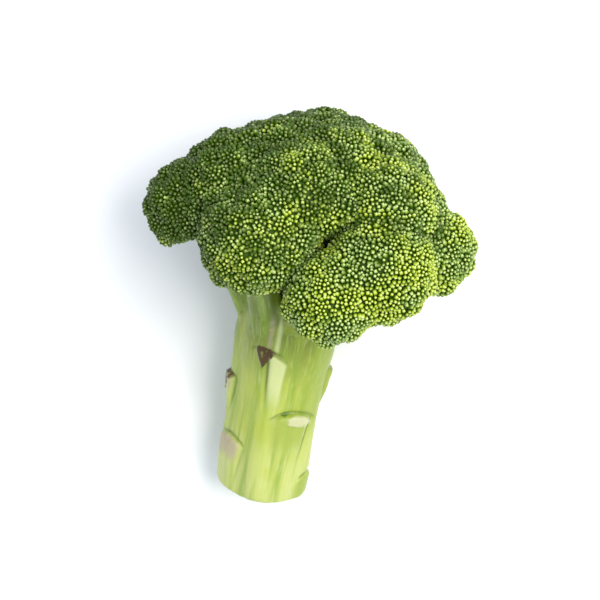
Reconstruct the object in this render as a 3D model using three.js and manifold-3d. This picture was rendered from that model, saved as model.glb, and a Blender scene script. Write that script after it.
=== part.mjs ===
// A head of broccoli, cut from its plant and lying on its side on a flat surface.
// It is modelled upright first: the stalk's cut end is at z = 0, the stalk rises along +Z and the
// domed crown is at the top. The whole head is then laid down, so that it rests on the crown's rim
// and on the edge of the stalk's cut end. Sizes are in millimetres, and angles in degrees.
import * as THREE from "three";
import { mergeVertices } from "three/addons/utils/BufferGeometryUtils.js";
import Module from "manifold-3d";

const wasm = await Module();
wasm.setup();

// The crown: a dome on a rim. Its centre is this far up the stalk, and this far aside from its axis.
const crown = { radius: 76, height: 56, centre: 125, aside: 5 };
const stalk = { radius: 21, forkStart: 84, forkEnd: 106, bendStart: 45, sides: 28 };
const lying = { lean: 20.7, roll: -0.5 }; // how far the stalk's axis rises from the surface, and its spin
const gap = 0.35; // clear space between neighbouring pieces
const hem = 0.34; // a floret's underside lies this share of its size below its middle
const bump = { count: 26, depth: 2.4 }; // the knobs on a floret, over its whole ball
const ballDetail = 4;
const goldenTurn = 137.5;

const colours = {
  stalkFlesh: "#a9bf62",
  branchFlesh: "#9db65a",
  leafBase: "#c3c78c",
  budGreen: "#5f7d33",
};

// The florets: polar is the angle from the crown's top, around is the angle from the side that faces
// up when the head lies down, size is the radius of the floret's ball, and reach says how far out it
// comes, as a share of the dome.
const florets = {
  rim_1: { polar: 82.5, around: 35, size: 26, reach: 1.02 },
  rim_2: { polar: 77, around: 69, size: 22, reach: 1.01 },
  rim_3: { polar: 80, around: 118, size: 28, reach: 0.9 },
  rim_4: { polar: 80, around: 158, size: 31, reach: 0.95 },
  rim_5: { polar: 80, around: 203, size: 31, reach: 0.95 },
  rim_6: { polar: 78, around: 244, size: 27, reach: 0.95 },
  rim_7: { polar: 82, around: 280, size: 20, reach: 1.01 },
  rim_8: { polar: 81, around: 328, size: 28, reach: 1.0 },
  rim_9: { polar: 98, around: 11, size: 19.5, reach: 1.0 },
  ring_1: { polar: 25, around: 8, size: 28, reach: 1.0 },
  ring_2: { polar: 59, around: 46, size: 23, reach: 1.0 },
  ring_3: { polar: 39, around: 82, size: 25, reach: 0.98 },
  ring_4: { polar: 46, around: 128, size: 26, reach: 0.94 },
  ring_5: { polar: 46, around: 180, size: 28, reach: 0.95 },
  ring_6: { polar: 46, around: 234, size: 26, reach: 0.91 },
  ring_7: { polar: 62, around: 289, size: 26, reach: 0.99 },
  ring_8: { polar: 49, around: 342, size: 23, reach: 0.98 },
  crest_1: { polar: 31, around: 297, size: 21, reach: 0.99 },
  crest_2: { polar: 18, around: 187, size: 24, reach: 1.01 },
};

// Where each tier's branches leave the stalk, and how thick they are at their foot and their end.
const tiers = {
  rim: { footRadius: 12, footHeight: 74, kneeRadius: 20, kneeHeight: 95, thick: [7.4, 5.8] },
  ring: { footRadius: 6.5, footHeight: 86, kneeRadius: 10.5, kneeHeight: 105, thick: [4.3, 3.8] },
  crest: { footRadius: 2.6, footHeight: 95, kneeRadius: 4.5, kneeHeight: 110, thick: [3.0, 2.8] },
};

// The cut-off leaf bases climb the stalk in a spiral, about a golden turn apart.
const leafBases = [
  { height: 13, around: 75, wide: 7, tall: 6, deep: 3.6 },
  { height: 27, around: 298, wide: 10, tall: 8, deep: 4.4 },
  { height: 35, around: 160, wide: 10, tall: 7.5, deep: 4.4 },
  { height: 42, around: 31, wide: 13, tall: 8, deep: 4.4 },
  { height: 52, around: 272, wide: 8, tall: 7, deep: 3.6 },
  { height: 63, around: 82, wide: 6, tall: 5.5, deep: 3.2 },
  { height: 73, around: 337, wide: 8, tall: 7, deep: 5.4 },
];

const turn = (degrees) => THREE.MathUtils.degToRad(degrees);

// A direction on the crown, from its polar angle and the angle around it.
function direction(polar, around) {
  const out = Math.sin(turn(polar));
  return new THREE.Vector3(out * Math.sin(turn(around)), -out * Math.cos(turn(around)), Math.cos(turn(polar)));
}

// A point at a distance from the stalk's axis, at an angle around it and a height up it.
function besideAxis(radius, around, height) {
  return new THREE.Vector3(radius * Math.sin(turn(around)), -radius * Math.cos(turn(around)), height);
}

// A closed geometry as a manifold solid, with its shared vertices merged and its empty faces dropped.
function solidOf(geometry) {
  const bare = geometry.clone();
  bare.deleteAttribute("normal");
  bare.deleteAttribute("uv");
  const merged = mergeVertices(bare, 1e-3);
  const corners = [...merged.index.array];
  const faces = [];
  for (let i = 0; i < corners.length; i += 3) {
    const [a, b, c] = corners.slice(i, i + 3);
    if (a !== b && b !== c && c !== a) faces.push(a, b, c);
  }
  const make = (triangles) =>
    new wasm.Manifold(
      new wasm.Mesh({
        numProp: 3,
        vertProperties: merged.attributes.position.array,
        triVerts: new Uint32Array(triangles),
      }),
    );
  const solid = make(faces);
  return solid.volume() > 0 ? solid : make(faces.reverse());
}

// The largest piece of a solid, as a three.js geometry.
function geometryOf(solid) {
  const pieces = solid.decompose().sort((a, b) => b.volume() - a.volume());
  const mesh = pieces[0].getMesh();
  const places = new Float32Array(mesh.numVert * 3);
  for (let i = 0; i < mesh.numVert; i++) {
    places.set(mesh.vertProperties.subarray(i * mesh.numProp, i * mesh.numProp + 3), i * 3);
  }
  const geometry = new THREE.BufferGeometry();
  geometry.setAttribute("position", new THREE.BufferAttribute(places, 3));
  geometry.setIndex(new THREE.BufferAttribute(new Uint32Array(mesh.triVerts), 1));
  geometry.computeVertexNormals();
  return geometry;
}

// Moves each vertex of a geometry to where rule(vertex) says.
function reshape(geometry, rule) {
  const places = geometry.attributes.position;
  const vertex = new THREE.Vector3();
  for (let i = 0; i < places.count; i++) {
    rule(vertex.fromBufferAttribute(places, i));
    places.setXYZ(i, vertex.x, vertex.y, vertex.z);
  }
  return geometry;
}

// The stalk: a gently fluted trunk that bends towards the crown and narrows where the branches leave it.
function stalkSolid(extra) {
  const r = stalk.radius + extra;
  const outline = new THREE.SplineCurve([
    new THREE.Vector2(r * 0.96, 1.5),
    new THREE.Vector2(r * 0.98, 16),
    new THREE.Vector2(r * 0.965, 34),
    new THREE.Vector2(r * 0.985, 50),
    new THREE.Vector2(r * 1.05, 66),
    new THREE.Vector2(r * 1.1, stalk.forkStart - 2),
    new THREE.Vector2(r * 0.84, stalk.forkStart + 9),
    new THREE.Vector2(r * 0.45, stalk.forkEnd - 7),
    new THREE.Vector2(r * 0.2, stalk.forkEnd - 2),
  ]);
  const profile = [new THREE.Vector2(0, -extra), new THREE.Vector2(r * 0.93, -extra)];
  profile.push(...outline.getPoints(14), new THREE.Vector2(0, stalk.forkEnd + extra));
  const fluted = (v) => {
    const around = Math.atan2(v.x, v.z);
    const swell = 1 + 0.022 * Math.cos(5 * around + 0.02 * v.y) + 0.014 * Math.cos(3 * around - 1);
    const bend = crown.aside * (Math.max(0, v.y - stalk.bendStart) / (crown.centre - stalk.bendStart)) ** 2;
    v.set(v.x * swell + bend, v.y, v.z * swell);
  };
  const trunk = reshape(new THREE.LatheGeometry(profile, stalk.sides), fluted);
  trunk.rotateX(Math.PI / 2);
  return solidOf(trunk);
}

// A limb: a round section of changing thickness that follows a curve.
function limbSolid(curve, thick, extra) {
  const steps = 7;
  const sides = 10;
  const profile = [new THREE.Vector2(0, 0)];
  for (let i = 0; i <= steps; i++) {
    profile.push(new THREE.Vector2(THREE.MathUtils.lerp(thick[0], thick[1], i / steps) + extra, i));
  }
  profile.push(new THREE.Vector2(0, steps));
  const frames = curve.computeFrenetFrames(steps, false);
  const bent = reshape(new THREE.LatheGeometry(profile, sides), (v) => {
    const step = Math.round(v.y);
    const across = frames.normals[step].clone().multiplyScalar(v.x);
    const along = frames.binormals[step].clone().multiplyScalar(v.z);
    v.copy(curve.getPointAt(step / steps)).add(across).add(along);
  });
  return solidOf(bent);
}

// How far the dome's surface is from the crown's centre, at an angle from its top.
function domeRadius(polar) {
  return 1 / Math.hypot(Math.sin(turn(polar)) / crown.radius, Math.cos(turn(polar)) / crown.height);
}

// Everything about one floret that its branch and its buds both need.
function layOut(name) {
  const { polar, around, size, reach } = florets[name];
  const tier = tiers[name.split("_")[0]];
  const out = direction(polar, around);
  const middle = out.clone().multiplyScalar(domeRadius(polar) * reach - size);
  middle.add(new THREE.Vector3(crown.aside, 0, crown.centre));
  const knee = besideAxis(tier.kneeRadius, around, tier.kneeHeight);
  const aim = middle.clone().sub(knee).normalize();
  const under = middle.clone().addScaledVector(aim, -hem * size);
  const foot = besideAxis(tier.footRadius, around, tier.footHeight);
  const route = new THREE.CatmullRomCurve3([foot, knee, under.clone().addScaledVector(aim, -gap)]);
  return { name, size, middle, aim, under, route, thick: tier.thick };
}

// Knobs spread over a ball, a golden turn apart, which differ from floret to floret.
function knobDirections(spin) {
  return Array.from({ length: bump.count }, (_, i) => {
    const z = 1 - (2 * i + 1) / bump.count;
    const around = turn(goldenTurn * i + spin);
    const out = Math.sqrt(1 - z * z);
    return new THREE.Vector3(out * Math.cos(around), out * Math.sin(around), z);
  });
}

// A floret's mass of buds: a knobbly ball, flat underneath and pressed flat against its neighbours.
function budSolid(floret, index, all) {
  const knobs = knobDirections(index * 47);
  const spread = Math.sqrt(4 / bump.count); // about half the angle between two knobs, in radians
  const ball = new THREE.IcosahedronGeometry(1, ballDetail);
  reshape(ball, (v) => {
    v.normalize();
    const off = Math.min(...knobs.map((k) => v.angleTo(k))) / spread;
    v.multiplyScalar(floret.size - bump.depth * Math.min(1, off * off)).add(floret.middle);
  });
  let solid = solidOf(ball).trimByPlane(floret.aim.toArray(), floret.aim.dot(floret.under));
  for (const other of all) {
    const between = floret.middle.clone().sub(other.middle);
    const apart = between.length();
    if (other === floret || apart > floret.size + other.size) continue;
    between.normalize();
    const share = (apart * apart + other.size ** 2 - floret.size ** 2) / (2 * apart);
    solid = solid.trimByPlane(between.toArray(), between.dot(other.middle) + share + gap / 2);
  }
  return solid;
}

// A leaf base: what is left where a leaf stalk was cut off, a low boss with a slanting cut face.
function leafBaseSolid({ height, around, wide, tall, deep }) {
  const boss = new THREE.SphereGeometry(1, 14, 10);
  boss.scale(wide, deep, tall);
  boss.rotateZ(turn(around));
  const seat = besideAxis(stalk.radius * 0.97, around, height);
  boss.translate(seat.x, seat.y, seat.z);
  const slant = direction(62, around);
  const cut = seat.clone().addScaledVector(slant, deep * 0.86);
  return solidOf(boss).trimByPlane(slant.clone().negate().toArray(), -slant.dot(cut));
}

// A named mesh with a plain material.
function piece(name, solid, colour, roughness) {
  const material = new THREE.MeshStandardMaterial({ color: colour, roughness, metalness: 0 });
  const mesh = new THREE.Mesh(geometryOf(solid), material);
  mesh.name = name;
  return mesh;
}

const head = new THREE.Group();
const layouts = Object.keys(florets).map(layOut);

head.add(piece("stalk", stalkSolid(0), colours.stalkFlesh, 0.45));
const stalkRoom = stalkSolid(gap);

// Each branch gives way to the stalk and to the branches made before it.
const branchRooms = [];
for (const floret of layouts) {
  let solid = limbSolid(floret.route, floret.thick, 0).subtract(stalkRoom);
  for (const room of branchRooms) solid = solid.subtract(room);
  branchRooms.push(limbSolid(floret.route, floret.thick, gap));
  head.add(piece(`${floret.name}_branch`, solid, colours.branchFlesh, 0.45));
}

// The buds give way to every branch that passes them.
layouts.forEach((floret, index) => {
  let solid = budSolid(floret, index, layouts);
  for (const room of branchRooms) solid = solid.subtract(room);
  head.add(piece(`${floret.name}_buds`, solid, colours.budGreen, 0.6));
});

// The leaf bases sit on the stalk and give way to the branches.
leafBases.forEach((base, index) => {
  let solid = leafBaseSolid(base).subtract(stalkRoom);
  for (const room of branchRooms) solid = solid.subtract(room);
  head.add(piece(`leaf_base_${index + 1}`, solid, colours.leafBase, 0.55));
});

// Lay the head down: the roll spins it about its own axis, and the lean brings that axis down.
head.rotation.set(-turn(90 - lying.lean), 0, turn(lying.roll), "XYZ");

// The origin is on the surface, under the middle of the lying head.
const broccoli = new THREE.Group();
broccoli.add(head);
broccoli.updateMatrixWorld(true);
const box = new THREE.Box3().setFromObject(broccoli, true);
head.position.set(-(box.min.x + box.max.x) / 2, -(box.min.y + box.max.y) / 2, -box.min.z);

export default broccoli;
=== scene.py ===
import math

import bmesh
import bpy
import numpy as np
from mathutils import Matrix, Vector, noise
from mathutils.bvhtree import BVHTree


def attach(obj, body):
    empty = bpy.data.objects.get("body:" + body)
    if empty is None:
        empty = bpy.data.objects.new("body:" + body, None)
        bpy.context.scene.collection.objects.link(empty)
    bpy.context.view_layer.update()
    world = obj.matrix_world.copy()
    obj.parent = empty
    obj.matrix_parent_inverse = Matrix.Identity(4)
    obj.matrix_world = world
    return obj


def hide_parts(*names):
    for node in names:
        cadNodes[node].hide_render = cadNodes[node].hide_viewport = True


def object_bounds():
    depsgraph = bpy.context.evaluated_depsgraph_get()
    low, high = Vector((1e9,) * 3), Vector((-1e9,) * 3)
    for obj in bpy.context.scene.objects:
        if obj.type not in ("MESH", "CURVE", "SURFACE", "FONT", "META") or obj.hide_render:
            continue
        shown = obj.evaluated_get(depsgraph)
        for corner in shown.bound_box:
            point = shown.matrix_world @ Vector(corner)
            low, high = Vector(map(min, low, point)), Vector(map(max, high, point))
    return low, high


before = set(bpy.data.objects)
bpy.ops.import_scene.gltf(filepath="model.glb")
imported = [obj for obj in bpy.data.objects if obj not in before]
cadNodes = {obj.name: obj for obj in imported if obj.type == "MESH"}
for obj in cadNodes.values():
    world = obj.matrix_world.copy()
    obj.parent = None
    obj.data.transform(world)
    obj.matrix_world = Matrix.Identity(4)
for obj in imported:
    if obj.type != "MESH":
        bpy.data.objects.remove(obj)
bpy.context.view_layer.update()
mm = 0.001
floretNames = [n[:-len("_buds")] for n in sorted(cadNodes) if n.endswith("_buds")]
branchNames = [n for n in sorted(cadNodes) if n.endswith("_branch")]
leafBaseNames = [n for n in sorted(cadNodes) if n.startswith("leaf_base")]
print("frame:", len(floretNames), "florets")


# ---- colours, nodes and meshes

def linearColour(hexText):
    parts = [int(hexText[i:i + 2], 16) / 255 for i in (1, 3, 5)]
    return [c / 12.92 if c <= 0.04045 else ((c + 0.055) / 1.055) ** 2.4 for c in parts] + [1.0]


def addNode(tree, kind, inputs=None, **settings):
    node = tree.nodes.new(kind)
    for name, value in settings.items():
        setattr(node, name, value)
    for key, value in (inputs or {}).items():
        if isinstance(value, bpy.types.NodeSocket):
            tree.links.new(value, node.inputs[key])
        else:
            node.inputs[key].default_value = value
    return node


def newTree(name, sockets):  # a Geometry Nodes tree and its inputs; a material is given as None
    tree = bpy.data.node_groups.new(name, "GeometryNodeTree")
    tree.interface.new_socket("Geometry", in_out="INPUT", socket_type="NodeSocketGeometry")
    for key, value in sockets.items():
        kind = "Material" if value is None else "Int" if isinstance(value, int) else "Float"
        socket = tree.interface.new_socket(key, in_out="INPUT", socket_type="NodeSocket" + kind)
        if value is not None:
            socket.default_value = value
    tree.interface.new_socket("Geometry", in_out="OUTPUT", socket_type="NodeSocketGeometry")
    return tree, addNode(tree, "NodeGroupInput").outputs


def newMaterial(name, shading):  # a material, its node tree and its shader, with the shader's settings
    made = bpy.data.materials.new(name)
    made.use_nodes = True
    shader = made.node_tree.nodes["Principled BSDF"]
    for key, value in shading.items():
        shader.inputs[key].default_value = value
    return made, made.node_tree, shader


def newObject(name, mesh):
    made = bpy.data.objects.new(name, mesh)
    bpy.context.scene.collection.objects.link(made)
    return made


def meshOf(name, points, faces=(), edges=()):
    mesh = bpy.data.meshes.new(name)
    mesh.from_pydata([tuple(p) for p in points], [tuple(e) for e in edges], [tuple(f) for f in faces])
    mesh.update()
    return mesh


def pointsOf(mesh):
    flat = np.empty(len(mesh.vertices) * 3)
    mesh.vertices.foreach_get("co", flat)
    return flat.reshape(-1, 3)


def normalsOf(mesh):
    flat = np.empty(len(mesh.vertices) * 3)
    mesh.vertex_normals.foreach_get("vector", flat)
    return flat.reshape(-1, 3)


def movePoints(mesh, points):
    mesh.vertices.foreach_set("co", np.ascontiguousarray(points, dtype=np.float32).ravel())
    mesh.update()


def storeOn(mesh, name, values):
    values = np.ascontiguousarray(values, dtype=np.float32)
    kind, field = ("FLOAT_VECTOR", "vector") if values.ndim == 2 else ("FLOAT", "value")
    mesh.attributes.new(name, kind, "POINT").data.foreach_set(field, values.ravel())


def applied(thing):  # the object's mesh with its modifiers worked in, and the object gone
    evaluated = thing.evaluated_get(bpy.context.evaluated_depsgraph_get())
    mesh = bpy.data.meshes.new_from_object(evaluated)
    bpy.data.objects.remove(thing)
    return mesh


def unit(vectors):
    vectors = np.asarray(vectors, float)
    return vectors / np.maximum(np.linalg.norm(vectors, axis=-1, keepdims=True), 1e-12)


def lengths(vectors):
    return np.linalg.norm(vectors, axis=-1)


def smoothstep(low, high, x):
    t = np.clip((x - low) / (high - low), 0, 1)
    return t * t * (3 - 2 * t)


def cadSolid(name, grow=0.0):  # a CAD node's points and faces, its doubles merged, swollen a little
    shape = bmesh.new()
    shape.from_mesh(cadNodes[name].data)
    bmesh.ops.remove_doubles(shape, verts=shape.verts, dist=0.005 * mm)
    shape.normal_update()
    points = np.array([v.co + v.normal * grow for v in shape.verts])
    faces = [[v.index for v in f.verts] for f in shape.faces]
    shape.free()
    return points, faces


def remeshed(name, solids, voxel, rounds):  # one smooth skin over several solids
    points, faces, start = [], [], 0
    for solidPoints, solidFaces in solids:
        points.append(solidPoints)
        faces += [[i + start for i in f] for f in solidFaces]
        start += len(solidPoints)
    block = newObject(name, meshOf(name, np.vstack(points), faces))
    skin = block.modifiers.new("skin", "REMESH")
    skin.mode = "VOXEL"
    skin.voxel_size = voxel
    mesh = applied(block)
    return smoothed(mesh, rounds)


def smoothed(mesh, rounds, share=0.6):
    ends = np.empty(len(mesh.edges) * 2, np.int32)
    mesh.edges.foreach_get("vertices", ends)
    a, b = ends.reshape(-1, 2).T
    points = pointsOf(mesh)
    count = np.bincount(a, minlength=len(points)) + np.bincount(b, minlength=len(points))
    for _ in range(rounds):
        total = np.stack([
            np.bincount(a, points[b, k], len(points)) + np.bincount(b, points[a, k], len(points))
            for k in range(3)], axis=1)
        points += share * (total / np.maximum(count, 1)[:, None] - points)
    movePoints(mesh, points)
    return mesh


def treeOver(mesh):
    return BVHTree.FromPolygons([v.co for v in mesh.vertices], [p.vertices for p in mesh.polygons])


def flatFaces(name):  # a CAD node's flat areas, largest first: area, normal, middle
    mesh = cadNodes[name].data
    areas = {}
    for face in mesh.polygons:
        key = (*(round(c, 2) for c in face.normal), round(face.normal.dot(face.center) / mm))
        area, normal, middle = areas.get(key, (0, Vector(), Vector()))
        areas[key] = (area + face.area, normal + face.normal * face.area, middle + face.center * face.area)
    found = [(a, np.array(n.normalized()), np.array(m / a)) for a, n, m in areas.values()]
    return sorted(found, key=lambda f: -f[0])


# ---- where the stalk and its limbs run

cutArea, cutNormal, cutMiddle = flatFaces("stalk")[0]
stalkAxis = -cutNormal
upSide = unit(np.array([0, 0, 1]) - stalkAxis[2] * stalkAxis)
rightSide = np.cross(stalkAxis, upSide)
stalkRadius = math.sqrt(cutArea / math.pi) / 0.93  # the cut face is bevelled to this share


def onStalk(points):  # height above the cut, angle round from the up side, distance from the axis
    away = np.asarray(points) - cutMiddle
    height = away @ stalkAxis
    right, up = away @ rightSide, away @ upSide
    return height, np.arctan2(right, up), np.hypot(right, up)


def limbLine(name):  # a branch's middle line, from its foot to its end
    points, _ = cadSolid(name)
    middle = points.mean(0)
    along = np.linalg.eigh(np.cov((points - middle).T))[1][:, -1]
    along = along * np.sign(along @ stalkAxis)
    t = (points - middle) @ along
    marks = np.linspace(t.min(), t.max(), 6)
    line = [points[np.abs(t - m) < (marks[1] - marks[0]) * 0.75].mean(0) for m in marks]
    return np.array(line)


limbLines = {name: limbLine(name) for name in branchNames}


def limbEnd(name):  # the middle and outward direction of a branch's flat end, where its buds begin
    unders = flatFaces(name.replace("_branch", "_buds"))[:12]
    ends = []
    for area, normal, middle in flatFaces(name):
        for _, facing, place in unders:
            if facing @ normal < -0.995 and 0.1 * mm < (place - middle) @ normal < 0.8 * mm:
                ends.append((area, normal, middle))
    return max(ends, key=lambda f: f[0])


def nearLine(points, line):  # distance to a polyline, and how far along it the nearest point is
    best = np.full(len(points), 1e9)
    along = np.zeros(len(points))
    offset = np.zeros((len(points), 3))
    walked = 0.0
    for a, b in zip(line[:-1], line[1:]):
        step = b - a
        length = np.linalg.norm(step)
        t = np.clip((points - a) @ step / length ** 2, 0, 1)
        away = points - (a + t[:, None] * step)
        distance = lengths(away)
        nearer = distance < best
        best = np.where(nearer, distance, best)
        along = np.where(nearer, walked + t * length, along)
        offset = np.where(nearer[:, None], away, offset)
        walked += length
    return best, along, offset


# ---- materials

# gap is painted shade at each bud's foot, tip the pale bloom with a painted highlight in it, and shade the
# dark green that buds in painted shade and darker buds mix towards
budColours = {
    "gap": "#3a5602",
    "shade": "#34490f",
    "blueGreen": "#7f9b4a",
    "yellowGreen": "#abbe28",
    "tip": "#ccd896",
}


def budSkin():
    # Waxy broccoli sepals: a satin skin with a pale bloom on each bud's tip, made paler still as a painted
    # highlight, and painted shade at its foot, where the gap colour darkens it.
    skin, tree, shader = newMaterial("waxyBroccoliBud", {"Roughness": 0.42, "Specular IOR Level": 0.2})
    hues = {name: linearColour(text) for name, text in budColours.items()}
    rise, toneAndShade, ripe = [addNode(tree, "ShaderNodeAttribute", attribute_name=name).outputs["Fac"]
                        for name in ("rise", "toneAndShade", "ripe")]
    green = addNode(tree, "ShaderNodeMix", {
        0: ripe, 6: hues["blueGreen"], 7: hues["yellowGreen"]}, data_type="RGBA")
    # darker buds mix towards the shade colour: partly random tone, partly painted shade away from the light
    # and in the clefts
    depth = addNode(tree, "ShaderNodeMix", {
        0: toneAndShade, 6: green.outputs[2], 7: hues["shade"]}, data_type="RGBA")
    footward = addNode(tree, "ShaderNodeMapRange", {
        "Value": rise, "From Min": 0.48, "From Max": 0.9}, interpolation_type="SMOOTHSTEP")
    body = addNode(tree, "ShaderNodeMix", {
        0: footward.outputs[0], 6: hues["gap"], 7: depth.outputs[2]}, data_type="RGBA")
    # the pale bloom with its painted highlight is faintest on the darkest buds, so it is dimmed along with
    # their painted shade and their darker tone
    most = addNode(tree, "ShaderNodeMapRange", {"Value": toneAndShade, "To Min": 1.0, "To Max": 0.25})
    tipward = addNode(tree, "ShaderNodeMapRange", {
        "Value": rise, "From Min": 0.84, "From Max": 1.0, "To Max": most.outputs[0]})
    whole = addNode(tree, "ShaderNodeMix", {
        0: tipward.outputs[0], 6: body.outputs[2], 7: hues["tip"]}, data_type="RGBA")
    tree.links.new(whole.outputs[2], shader.inputs["Base Color"])
    return skin


# the gap colour is painted shade: the core as seen between the buds
coreColours = {"gap": "#314c04", "under": "#8fa552"}


def coreFlesh():
    # The imported flower stalks under the buds: painted nearly black green in the gaps, as the shade between
    # the buds, and pale green underneath.
    flesh, tree, shader = newMaterial("packedFlowerStalks", {"Roughness": 0.6, "Specular IOR Level": 0.15})
    place = addNode(tree, "ShaderNodeTexCoord").outputs["Object"]
    under = addNode(tree, "ShaderNodeAttribute", attribute_name="under")
    grain = addNode(tree, "ShaderNodeTexNoise", {"Vector": place, "Scale": 1 / (3 * mm), "Detail": 3.0})
    mottled = addNode(tree, "ShaderNodeMath", {
        0: under.outputs["Fac"], 1: grain.outputs["Fac"]}, operation="MULTIPLY")
    lifted = addNode(tree, "ShaderNodeMath", {
        0: mottled.outputs[0], 1: 1.5}, operation="MULTIPLY", use_clamp=True)
    whole = addNode(tree, "ShaderNodeMix", {
        0: lifted.outputs[0], 6: linearColour(coreColours["gap"]), 7: linearColour(coreColours["under"])},
        data_type="RGBA")
    tree.links.new(whole.outputs[2], shader.inputs["Base Color"])
    return flesh


stalkColours = {
    "base": "#b2ba68",
    "middle": "#a6b24e",
    "top": "#62741b",
    "streak": "#7c962a",
    "fibre": "#c0c888",
    "sunny": "#a4ae34",
    # painted shade in the grooves by the leaf bases, and the colour of a leaf base's dark eye
    "eyeAndCreaseShade": "#55701a",
    "torn": "#b8b98c",
    "dried": "#4a3513",
    "bruise": "#a89b80",
    "pale": "#bcc486",
    "lush": "#8c9c36",
}


def stalkSkin():
    # Broccoli stalk: a smooth waxy skin over moist flesh, softly glossy, with broad lengthwise bands.
    skin, tree, shader = newMaterial("waxyStalkSkin", {
        "Roughness": 0.38, "IOR": 1.4, "Subsurface Weight": 0.15, "Subsurface Radius": (0.8, 1.0, 0.35),
        "Subsurface Scale": 2.5 * mm})
    facts = {name: addNode(tree, "ShaderNodeAttribute", attribute_name=name).outputs["Fac"]
             for name in ("height", "lush", "pale", "eyeAndCreaseShade", "bruise", "torn", "dried")}
    grain = addNode(tree, "ShaderNodeAttribute", attribute_name="grain").outputs["Vector"]
    place = addNode(tree, "ShaderNodeTexCoord").outputs["Object"]
    clouds = {"bands": (grain, 0.2, 2.0), "fibres": (grain, 1.1, 3.0), "patches": (place, 1 / (14 * mm), 2.0),
              "crumbs": (place, 1 / (2.5 * mm), 3.0)}
    for name, (vector, scale, detail) in clouds.items():
        cloud = addNode(tree, "ShaderNodeTexNoise", {"Vector": vector, "Scale": scale, "Detail": detail})
        facts[name] = cloud.outputs["Fac"]
    # a torn or dried scar's edge is broken up
    broken = addNode(tree, "ShaderNodeMath", {0: facts["crumbs"], 1: 3.0, 2: -0.5}, operation="MULTIPLY_ADD")
    for name in ("torn", "dried"):
        ragged = addNode(tree, "ShaderNodeMath", {0: facts[name], 1: broken.outputs[0]}, operation="MULTIPLY")
        facts[name] = ragged.outputs[0]
    # each colour is laid over the ones before it, where its fact rises from low to high
    layers = [("middle", "height", 8.0, 48.0, 1.0), ("top", "height", 48.0, 92.0, 1.0),
              ("sunny", "patches", 0.5, 0.72, 0.45), ("streak", "bands", 0.42, 0.66, 0.7),
              ("fibre", "fibres", 0.5, 0.75, 0.35), ("lush", "lush", 0.0, 1.0, 1.0),
              ("pale", "pale", 0.0, 1.0, 1.0), ("eyeAndCreaseShade", "eyeAndCreaseShade", 0.0, 1.0, 1.0),
              ("bruise", "bruise", 0.0, 1.0, 1.0), ("torn", "torn", 0.2, 0.8, 1.0),
              ("dried", "dried", 0.2, 0.8, 1.0)]
    colour = linearColour(stalkColours["base"])
    for name, fact, low, high, most in layers:
        amount = addNode(tree, "ShaderNodeMapRange", {
            "Value": facts[fact], "From Min": low, "From Max": high, "To Max": most},
            interpolation_type="SMOOTHSTEP")
        mixed = addNode(tree, "ShaderNodeMix", {
            0: amount.outputs[0], 6: colour, 7: linearColour(stalkColours[name])}, data_type="RGBA")
        colour = mixed.outputs[2]
    tree.links.new(colour, shader.inputs["Base Color"])
    bump = addNode(tree, "ShaderNodeBump", {
        "Height": facts["fibres"], "Strength": 0.2, "Distance": 0.15 * mm})
    tree.links.new(bump.outputs[0], shader.inputs["Normal"])
    return skin


cutRings = [(0.0, "#dfe7b0"), (0.55, "#e6ecba"), (0.68, "#c3d283"), (0.76, "#dbe4a4"), (0.93, "#cfdb90"),
            (1.0, "#a3b85c")]  # from the pith's middle to the skin


def cutFlesh():
    # The freshly cut stalk: moist pale flesh, a slightly darker ring of fibres, and a glassy pith.
    flesh, tree, shader = newMaterial("freshlyCutStalk", {
        "Roughness": 0.3, "Subsurface Weight": 0.2, "Subsurface Radius": (0.8, 1.0, 0.4),
        "Subsurface Scale": 3 * mm})
    outward = addNode(tree, "ShaderNodeAttribute", attribute_name="outward")  # 0 in the middle, 1 at the skin
    rings = addNode(tree, "ShaderNodeValToRGB", {"Fac": outward.outputs["Fac"]})
    ramp = rings.color_ramp
    while len(ramp.elements) < len(cutRings):
        ramp.elements.new(0.5)
    for element, (stop, colour) in zip(ramp.elements, cutRings):
        element.position = stop
        element.color = linearColour(colour)
    place = addNode(tree, "ShaderNodeTexCoord").outputs["Object"]
    spots = addNode(tree, "ShaderNodeTexVoronoi", {"Vector": place, "Scale": 1 / (1.6 * mm)})
    pores = addNode(tree, "ShaderNodeMapRange", {
        "Value": spots.outputs["Distance"], "From Max": 0.5, "To Min": 0.3, "To Max": 0.0})
    whole = addNode(tree, "ShaderNodeMix", {
        0: pores.outputs[0], 6: rings.outputs[0], 7: linearColour("#bccb7c")}, data_type="RGBA")
    tree.links.new(whole.outputs[2], shader.inputs["Base Color"])
    return flesh


budMaterial = budSkin()
coreMaterial = coreFlesh()
stalkMaterial = stalkSkin()
cutMaterial = cutFlesh()


# ---- the stalk with its branches and leaf bases

stalkShape = {
    "voxel": 0.8 * mm,
    "grow": 0.45 * mm,  # closes the gaps between the CAD solids
    "swell": 1.9 * mm,  # makes neighbouring branches run together at their feet
    "smoothing": 5,
    "melting": 34,  # how many rounds of smoothing melt the branches' feet into the stalk
    "fork": 88 * mm,  # how far up the stalk its branches leave it
    "flute": 0.45 * mm,  # the stalk's broad lengthwise swellings
    "rib": 0.28 * mm,  # the branches' lengthwise ribs
    "groove": 0.55 * mm,  # the crease above a leaf base
    "meltHeight": (52 * mm, 68 * mm),  # where the melting starts, and where it is full
    "meltOut": (1.35, 1.9),  # how far out it fades, in stalk radii
    "cutDish": 0.7 * mm,  # how far the middle of the cut face has drawn in
}
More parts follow.
